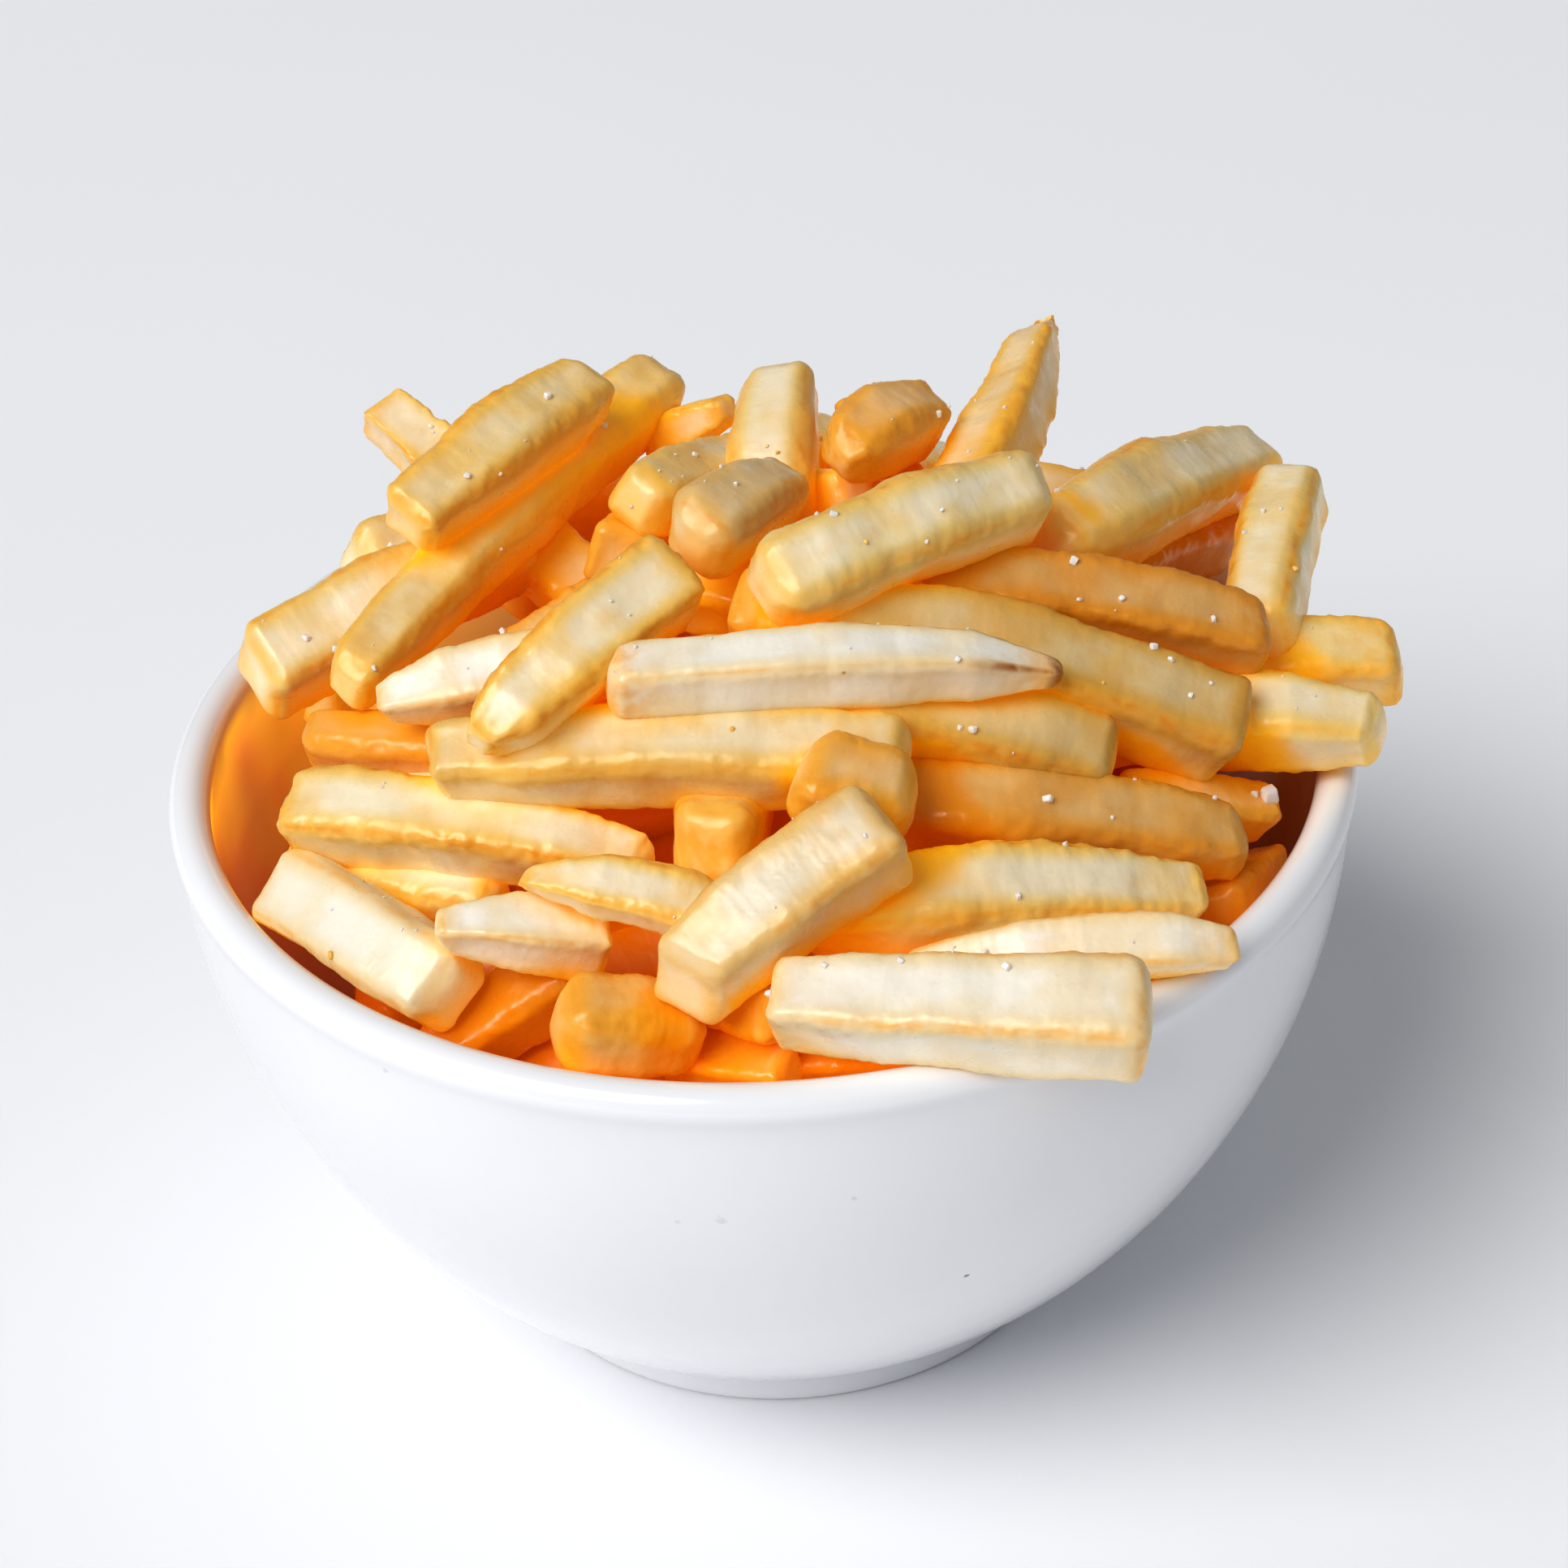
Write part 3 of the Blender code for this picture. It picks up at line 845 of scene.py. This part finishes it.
crusts = {
    "cream": crustOf((0.86, 0.75, 0.54), (0.92, 0.61, 0.20), 0.45, 0.9),
    "pale": crustOf((0.82, 0.64, 0.29), (0.87, 0.50, 0.08), 0.75, 0.55),
    "golden": crustOf((0.84, 0.62, 0.23), (0.90, 0.48, 0.05), 0.8, 0.36),
    "amber": crustOf((0.84, 0.54, 0.17), (0.84, 0.37, 0.025), 0.9, 0.25, shadeColour=(0.86, 0.36, 0.01)),
    "gritty": crustOf((0.85, 0.66, 0.29), (0.92, 0.51, 0.07), 0.85, 0.55),
    "settled": crustOf((0.84, 0.56, 0.18), (0.88, 0.40, 0.03), 0.8, 0.2, shadeColour=(0.90, 0.36, 0.006)),
    # the bed and the middle show only in the gaps, so their crust is a darker, saturated orange: painted
    # shade
    "bed": crustOf((0.80, 0.30, 0.015), (0.72, 0.20, 0.006), 0.6, 0.0, shadeColour=(0.74, 0.22, 0.005)),
}
# how yellow and how strong the painted glow is, an emission standing in for light that comes through the
# potato; on the china it is a painted orange glow
through = {"crust": (0.62, 0.18), "bed": (0.62, 0.11), "amber": (0.62, 0.09), "china": (0.7, 0.95)}


def makeGlowGroup():
    # painted light: red and yellow from the glow attribute, shown as an emission colour
    tree, given, put = newGroup("light through potato", (("Yellow", "Float", 0.66),), (("Color", "Color"),))
    glowing = written(tree, "glow")
    yellow = times(tree, glowing.outputs[2], given["Yellow"])
    orange = addNode(tree, "CombineColor", {0: glowing.outputs[1], 1: yellow, 2: 0.0})
    tree.links.new(orange.outputs["Color"], put["Color"])
    return tree


glowGroup = makeGlowGroup()


def paintGlow(material, yellow, strength):
    # painted light: a faint emission glow, standing in for light through the potato, that lights nothing else
    material.cycles.emission_sampling = "NONE"
    tree = material.node_tree
    shader = tree.nodes["Principled BSDF"]
    light = useGroup(tree, glowGroup, {"Yellow": yellow}).outputs["Color"]
    feed(tree, shader, {"Emission Color": light, "Emission Strength": strength})


def makeCrust(kind):
    material, tree, shader = newMaterial(
        "fried potato " + kind,
        Subsurface_Weight=0.4,
        Subsurface_Radius=(1.0, 0.5, 0.2),
        Subsurface_Scale=0.0022,
        IOR=1.5,
        Coat_Weight=0.18,
        Coat_Roughness=0.25,
    )
    shader.subsurface_method = "BURLEY"
    crust = useGroup(tree, crustGroup, crusts[kind])
    feed(tree, shader, {"Base Color": crust.outputs["Color"], "Roughness": crust.outputs["Roughness"]})
    bumped(tree, crust.outputs["Height"], 0.0007, 0.6, shader)
    paintGlow(material, *through.get(kind, through["crust"]))
    return material


# Fries that fill the far side and the gaps, each in the lowest of some random places

settled = {
    "count": 40,
    "tries": 140,
    "lifts": 20,
    "seed": 12,
    "packing": 0.8,  # two fries may close up to this share of their thickness
    "reach": 57.0,
    "sideSlope": 0.011,
    "lengths": (34, 56),
    "thick": 9.5,
    "thickness": (0.85, 1.1),
    "beads": 9,
    "bed": (84.0, 27.0, 62.0),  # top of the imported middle, its drop, and the radius of that drop
    # they stay under a dome, top, bend and shift back, and under a slope, top, fall back and fall aside
    "dome": (102.0, 0.0068, 4.0),
    "slope": (116.0, 0.67, 0.15),
    "look": {"tone": 0.45, "brown": 0.3},
}


def beads(start, end, thick):
    a, b = np.array(start, float), np.array(end, float)
    inset = thick / 2 / max(np.linalg.norm(b - a), thick)
    share = np.linspace(inset, 1 - inset, settled["beads"])[:, None]
    return np.hstack([a + (b - a) * share, np.full((settled["beads"], 1), thick / 2)])


def bedHeight(away):
    top, drop, reach = settled["bed"]
    return top - drop * (away / reach) ** 2


def restHeight(stick, heap):
    # how far to lift a fry from height 0 to the first free place above the bed
    away = np.hypot(stick[:, 0], stick[:, 1])
    overRim = away + stick[:, 3] > bowl["rimRadius"] - bowl["wall"] - 1
    bed = np.where(overRim, bowlHigh.z / mm, bedHeight(away))
    lift = (bed + stick[:, 3] - stick[:, 2]).max()
    across = np.hypot(stick[:, None, 0] - heap[None, :, 0], stick[:, None, 1] - heap[None, :, 1])
    reach = (stick[:, None, 3] + heap[None, :, 3]) * settled["packing"]
    span = np.sqrt(np.maximum(reach**2 - across**2, 0))
    for _ in range(settled["lifts"]):
        rise = heap[None, :, 2] - (stick[:, None, 2] + lift)
        touching = (across < reach) & (np.abs(rise) < span - 0.01)
        if not touching.any():
            return lift
        lift += (rise + span)[touching].max()
    return lift


def ceiling(x, y):
    top, bend, shift = settled["dome"]
    slopeTop, back, aside = settled["slope"]
    return np.minimum(top - bend * (x**2 + (y - shift) ** 2), slopeTop - aside * x - back * y)


def settleFries(heap):
    chance = random.Random(settled["seed"])
    found = {}
    for number in range(settled["count"]):
        best = None
        for _ in range(settled["tries"]):
            around = chance.uniform(0, math.tau)
            away = settled["reach"] * math.sqrt(chance.random())
            heading = chance.uniform(0, math.pi)
            length = chance.uniform(*settled["lengths"])
            thick = chance.uniform(*settled["thickness"]) * settled["thick"]
            middle = np.array([away * math.cos(around), away * math.sin(around)])
            step = np.array([math.cos(heading), math.sin(heading)]) * length / 2
            slope = -settled["sideSlope"] * float(middle @ step)
            stick = beads((*(middle - step), -slope), (*(middle + step), slope), thick)
            stick[:, 2] += restHeight(stick, heap)
            tooHigh = (stick[:, 2] + stick[:, 3] > ceiling(stick[:, 0], stick[:, 1])).any()
            tooWide = (np.hypot(stick[:, 0], stick[:, 1]) > bowl["rimRadius"] - 1).any()
            if tooHigh or tooWide:
                continue
            if best is None or stick[:, 2].mean() < best[:, 2].mean():
                best = stick
        if best is not None:
            found[f"settled{number}"] = best
            heap = np.vstack([heap, best])
    return found


def asLook(stick, chance):
    ends = [(*(float(part) for part in stick[n, :3]), 2 * float(stick[n, 3])) for n in (0, -1)]
    return along(*ends, roll=chance.uniform(0, fry["anyRoll"]), **settled["look"])


# The bed under them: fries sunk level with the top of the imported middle, and the middle itself

bedding = {
    "rings": ((7, 16.0), (12, 33.0), (17, 49.0)),  # how many fries lie at each distance from the axis
    "length": (28, 40),
    "thick": (8.0, 9.6),
    "sink": 0.6,  # how far a fry's middle line lies under the bed's top, as a share of its thickness
    "spread": 0.3,  # how far a fry strays from its place in the ring
    "askew": 0.7,  # and how far it turns out of the ring, in radians
    "seed": 21,
    "look": {"tone": 0.7, "brown": 0.3},
    "coreDepth": 9.0,  # the middle's top lies this far under the bed's
    "coreRings": 9,
    "coreAround": 48,
    "coreRadius": 52.0,
    "coreFloor": 1.5,  # mm over the bowl's floor
    "coreGap": 2,  # mm from the bowl's side
    "coreDents": {"uneven": 3.0, "lumps": 4.0},
    "coreAs": (60, 10),  # length and thickness of the fry whose crust the middle takes
    "coreSeed": 3,
}


def bedFries():
    chance = random.Random(bedding["seed"])
    stray, askew = bedding["spread"], bedding["askew"]
    found = {}
    for count, away in bedding["rings"]:
        for n in range(count):
            around = math.tau * (n + chance.uniform(-stray, stray)) / count
            heading = around + math.pi / 2 + chance.uniform(-askew, askew)
            half, thick = chance.uniform(*bedding["length"]) / 2, chance.uniform(*bedding["thick"])
            ends = []
            for side in (-1, 1):
                x = away * math.cos(around) + side * half * math.cos(heading)
                y = away * math.sin(around) + side * half * math.sin(heading)
                out = math.hypot(x, y)
                limit = insideRadius(bedHeight(out)) - thick
                x, y = x * min(1, limit / out), y * min(1, limit / out)
                z = float(bedHeight(math.hypot(x, y))) - bedding["sink"] * thick
                ends.append((x, y, z, thick))
            roll = chance.uniform(0, fry["anyRoll"])
            found[f"bed{away:.0f}_{n}"] = along(*ends, roll=roll, **bedding["look"])
    return found


def insideRadius(height):
    low, top = bowl["floorThick"], bowlHigh.z / mm - bowl["lipRound"]
    share = min(max((height - low) / (top - low), 0), 1)
    return belly(bowl["hollowFoot"], bowl["rimRadius"] - bowl["wall"], share)


def makeCore():
    steps = bedding["coreRings"]
    edge = bedding["coreRadius"]
    rings = []
    for n in range(1, steps + 1):
        rings.append((edge * n / steps, float(bedHeight(edge * n / steps)) - bedding["coreDepth"]))
    top, low = rings[-1][1], bowl["floorThick"] + bedding["coreFloor"]
    for n in range(1, steps + 1):
        height = top + (low - top) * n / steps
        rings.append((min(insideRadius(height) - bedding["coreGap"], edge), height))
    radius, height = rings[0]
    start = {"vertices": bedding["coreAround"], "radius": radius * mm, "location": (0, 0, height * mm)}
    made = newPiece("fries_core", bpy.ops.mesh.primitive_circle_add, fill_type="TRIFAN", **start)
    editMesh(made)
    pick(made, "vertices", lambda vert: vert.co.length > radius * mm * 0.9)
    drawThrough(rings)
    faceOut()
    soften(made, bowl["smooth"])
    for name, share in bedding["coreDents"].items():
        addDent(made, name, share)
    applyAll(made)
    look = along(**bedding["look"])
    writeLook(made.data, *bedding["coreAs"], look, random.Random(bedding["coreSeed"]))
    smoothShade(made)
    return made


# How far the light from the window has come through potato on its way to each point, measured from the key
# light. Fried potato lets red through furthest, then yellow; from this the shaded sides and gaps get painted
# shade in their colour and a painted orange glow.

glow = {
    "cell": 2.5,  # mm
    "half": 75.0,  # mm, half the width of the grid
    "headroom": 4,  # mm over the heap
    "steps": 16,
    "rays": 12,  # spread over the light's disc
    "redFade": 0.06,  # per mm
    "yellowFade": 0.12,
    "litFade": 0.8,  # for light that has to come straight in
    "bowlFade": 3.0,  # times that of potato
    "bedUnder": 3,  # mm, how far under the bed's top potato fills everything
    "inner": 0.35,  # up to this slant towards the light, the bowl's inside counts as shaded
    "turn": 2.39996,  # between one ray and the next, in radians
    "lift": 1.4,  # mm above the skin where it is measured
}


def potatoGrid(lines):
    cell, half = glow["cell"], glow["half"]
    low, high = np.array([-half, -half, 0.0]), np.array([half, half, heapHigh.z / mm + glow["headroom"]])
    counts = np.ceil((high - low) / cell).astype(int) + 1
    x, y, z = np.meshgrid(*[low[n] + cell * np.arange(counts[n]) for n in range(3)], indexing="ij")
    away = np.hypot(x, y)
    inBowl = away < bowl["rimRadius"] - bowl["wall"]
    filled = ((z < bedHeight(away) - glow["bedUnder"]) & inBowl).astype(np.float32)
    for line in lines:
        for a, b in zip(line, line[1:]):
            a, b = np.array(a), np.array(b)
            step = b[:3] - a[:3]
            share = ((x - a[0]) * step[0] + (y - a[1]) * step[1] + (z - a[2]) * step[2]) / (step @ step)
            share = share.clip(0, 1)
            gap = (x - a[0] - share * step[0]) ** 2 + (y - a[1] - share * step[1]) ** 2
            gap = np.sqrt(gap + (z - a[2] - share * step[2]) ** 2)
            inside = (a[3] + share * (b[3] - a[3])) / 2 - gap
            filled = np.maximum(filled, (inside / cell + 0.5).clip(0, 1))
    filled[(z < bowlHigh.z / mm) & ~inBowl] = glow["bowlFade"]
    return low, filled


def shifted(grid, move):
    # the grid as seen from further along a ray, with nothing beyond its edge
    made = np.zeros(grid.shape, grid.dtype)
    here = tuple(slice(max(0, -m), grid.shape[n] - max(0, m)) for n, m in enumerate(move))
    there = tuple(slice(max(0, m), grid.shape[n] + min(0, m)) for n, m in enumerate(move))
    made[here] = grid[there]
    return made


def glowField(lines):
    low, filled = potatoGrid(lines)
    toLight = Vector(studio["key"]["from"])
    aside = toLight.cross(Vector((0, 0, 1))).normalized()
    above = aside.cross(toLight).normalized()
    sums = [np.zeros(filled.shape, np.float32) for _ in range(3)]
    for n in range(glow["rays"]):
        out = studio["key"]["size"] / 2 * math.sqrt((n + 0.5) / glow["rays"])
        turn = n * glow["turn"]
        ray = (toLight + aside * out * math.cos(turn) + above * out * math.sin(turn)).normalized()
        passed = np.zeros(filled.shape, np.float32)
        for step in range(1, glow["steps"] + 1):
            passed += shifted(filled, [round(part * step) for part in ray])
        passed *= glow["cell"]
        for kept, fade in zip(sums, (glow["litFade"], glow["redFade"], glow["yellowFade"])):
            kept += np.exp(-passed * fade)
    lit, red, yellow = (kept / glow["rays"] for kept in sums)
    return low, np.stack([1 - lit, red * (1 - lit), yellow * (1 - lit)], axis=-1)


def innerShade(place, normal):
    # only the inside of the bowl, where it faces away from the light, gets a painted orange glow, standing in
    # for light through the fries
    toLight = np.array(Vector(studio["key"]["from"]).normalized())
    inward = (place[:, :2] * normal[:, :2]).sum(axis=1) < 0
    return inward * (2 * (glow["inner"] - normal @ toLight)).clip(0, 1)


def writeGlow(thing, field, share=None):
    low, values = field
    mesh = thing.data
    place, normal = perVertex(mesh), perVertex(mesh, "normal")
    spot = (place / mm + normal * glow["lift"] - low) / glow["cell"]
    spot = spot.clip(0, np.array(values.shape[:3]) - 1.001)
    base = spot.astype(int)
    part = spot - base
    found = np.zeros(place.shape)
    for dx in (0, 1):
        for dy in (0, 1):
            for dz in (0, 1):
                near = np.abs(1 - dx - part[:, 0]) * np.abs(1 - dy - part[:, 1]) * np.abs(1 - dz - part[:, 2])
                found += near[:, None] * values[base[:, 0] + dx, base[:, 1] + dy, base[:, 2] + dz]
    if share:
        found *= share(place, normal)[:, None]
    writeVectors(mesh, "glow", found)


def finishPotato(thing, material):
    thing.data.materials.clear()
    thing.data.materials.append(material)
    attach(thing, "root")
    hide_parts("fries")


shown = {**creamFries, **paleFries, **goldenFries, **amberFries, **grittyFries}
lines = [look["line"] for look in shown.values()]
spans = [(line[0][:3], line[-1][:3], round(max(knot[3] for knot in line))) for line in lines]
heapBeads = np.vstack([beads(*span) for span in spans])
chance = random.Random(settled["seed"])
under = {name: asLook(stick, chance) for name, stick in settleFries(heapBeads).items()}
print("settled", len(under))
bed = bedFries()
fryPieces = []
field = glowField([look["line"] for look in (*shown.values(), *under.values(), *bed.values())])
for name, table, rough, seed, smooth in (
    ("cream", creamFries, 0.8, 10, 2),
    ("pale", paleFries, 0.9, 11, 2),
    ("golden", goldenFries, 1.1, 12, 2),
    ("amber", amberFries, 1.2, 16, 2),
    ("gritty", grittyFries, 1.5, 13, 2),
    ("settled", under, 1.1, 14, 2),
    ("bed", bed, 1.1, 15, 1),
):
    laid = layFries("fries_" + name, table, blanks, rough, seed, smooth)
    writeGlow(laid, field)
    finishPotato(laid, makeCrust(name))
    fryPieces.append(laid)
# painted light: the bowl's inside, where it faces away from the light, glows orange
writeGlow(china, field, innerShade)
paintGlow(china.data.materials[0], *through["china"])
core = makeCore()
writeGlow(core, field)
finishPotato(core, makeCrust("bed"))


# Salt grains and crumbs

scatter = {
    "salt": {"count": 210, "sizes": (0.28, 0.9), "seed": 41, "raised": 0.12, "shake": 0.16},
    "crumbs": {"count": 26, "sizes": (0.4, 1.3), "seed": 42, "raised": 0.05, "shake": 0.12},
    "shapes": 3,  # of each kind
    "skew": 2.5,  # most grains are small
    "reach": 70,  # mm from the axis
    "drop": 130,  # mm above the floor
    "steepest": 0.35,  # least upward share of the skin's normal that holds a grain
    "chip": 0.14,
    "flatten": (1, 0.8, 0.65),
}
placedSalt = (  # x and y of the larger grains, and their sizes, in mm
    (-23.1, 20.9, 1.0),
    (-32.2, 8.4, 0.9),
    (-29.1, -0.6, 0.9),
    (23.7, -64.1, 1.0),
    (30.6, -34.5, 1.1),
    (14.2, -49.6, 0.9),
    (57.0, -20.5, 2.2),
    (22.9, -29.9, 0.9),
    (21.5, -29.0, 0.7),
    (36.0, -8.0, 1.0),
    (44.0, -17.0, 0.9),
)


def makeGrain(name, kind, seed):
    # one across, a chipped cube or a rough ball
    if kind == "salt":
        made = newPiece(name, bpy.ops.mesh.primitive_cube_add, size=1)
        editMesh(made)
        bpy.ops.mesh.bevel(offset=scatter["chip"], segments=1, affect="EDGES")
    else:
        made = newPiece(name, bpy.ops.mesh.primitive_ico_sphere_add, subdivisions=2, radius=0.5)
        editMesh(made)
    bpy.ops.transform.vertex_random(offset=scatter[kind]["shake"], seed=seed)
    bpy.ops.transform.resize(value=scatter["flatten"])
    leaveEdit()
    return made


def landing(trees, x, y):
    found = None
    for tree in trees:
        place, normal, _, _ = tree.ray_cast(Vector((x, y, scatter["drop"])) * mm, Vector((0, 0, -1)))
        if place and (not found or place.z > found[0].z):
            found = (place, normal)
    return found


def scatterOver(trees, kind, material, fixed=()):
    chance = random.Random(scatter[kind]["seed"])
    low, high = scatter[kind]["sizes"]
    grains = [makeGrain(f"{kind}_{n}", kind, n) for n in range(1, scatter["shapes"] + 1)]
    places = list(fixed)
    while len(places) < scatter[kind]["count"]:
        away = scatter["reach"] * math.sqrt(chance.random())
        turn = chance.uniform(0, math.tau)
        size = low + (high - low) * chance.random() ** scatter["skew"]
        places.append((away * math.cos(turn), away * math.sin(turn), size))
    made = []
    for x, y, size in places:
        spot = landing(trees, x, y)
        if not spot or spot[1].z < scatter["steepest"]:
            continue
        place, normal = spot
        grain = copyOf(chance.choice(grains), kind)
        turn = Euler([chance.uniform(0, math.tau) for _ in range(3)]).to_quaternion()
        middle = place + normal * size * mm * scatter[kind]["raised"]
        grain.data.transform(Matrix.LocRotScale(middle, turn, Vector((size, size, size)) * mm))
        made.append(grain)
    for grain in grains:
        bpy.data.objects.remove(grain)
    whole = joined(made, kind)
    finishPotato(whole, material)
    print(kind, len(made), len(whole.data.polygons))


def makeSalt():
    material, tree, shader = newMaterial(
        "salt",
        Roughness=0.22,
        IOR=1.54,
        Subsurface_Weight=0.6,
        Subsurface_Radius=(1.0, 0.9, 0.85),
        Subsurface_Scale=0.0012,
    )
    place = ownPlace(tree)
    cloudy = ramp(tree, noise(tree, place, 1500, 2), 0.35, 0.65)
    colour = blendColour(tree, cloudy, (0.95, 0.92, 0.91, 1), (0.98, 0.97, 0.96, 1))
    feed(tree, shader, {"Base Color": colour})
    bumped(tree, noise(tree, place, 2500, 2), 0.0001, 0.3, shader)
    return material


def makeCrumb():
    material, tree, shader = newMaterial(
        "fried crumb",
        Roughness=0.4,
        Subsurface_Weight=0.3,
        Subsurface_Radius=(1.0, 0.5, 0.2),
        Subsurface_Scale=0.001,
        Coat_Weight=0.2,
    )
    place = ownPlace(tree)
    toast = ramp(tree, noise(tree, place, 260, 3), 0.35, 0.65)
    colour = blendColour(tree, toast, (0.92, 0.70, 0.32, 1), (0.88, 0.50, 0.10, 1))
    feed(tree, shader, {"Base Color": colour})
    bumped(tree, noise(tree, place, 1300, 3), 0.0003, 0.6, shader)
    return material


depsgraph = bpy.context.evaluated_depsgraph_get()
trees = [BVHTree.FromObject(thing, depsgraph) for thing in fryPieces]
scatterOver(trees, "crumbs", makeCrumb())
scatterOver(trees, "salt", makeSalt(), placedSalt)

for pair in blanks.values():
    for blank in pair:
        bpy.data.objects.remove(blank)
print("fries laid")
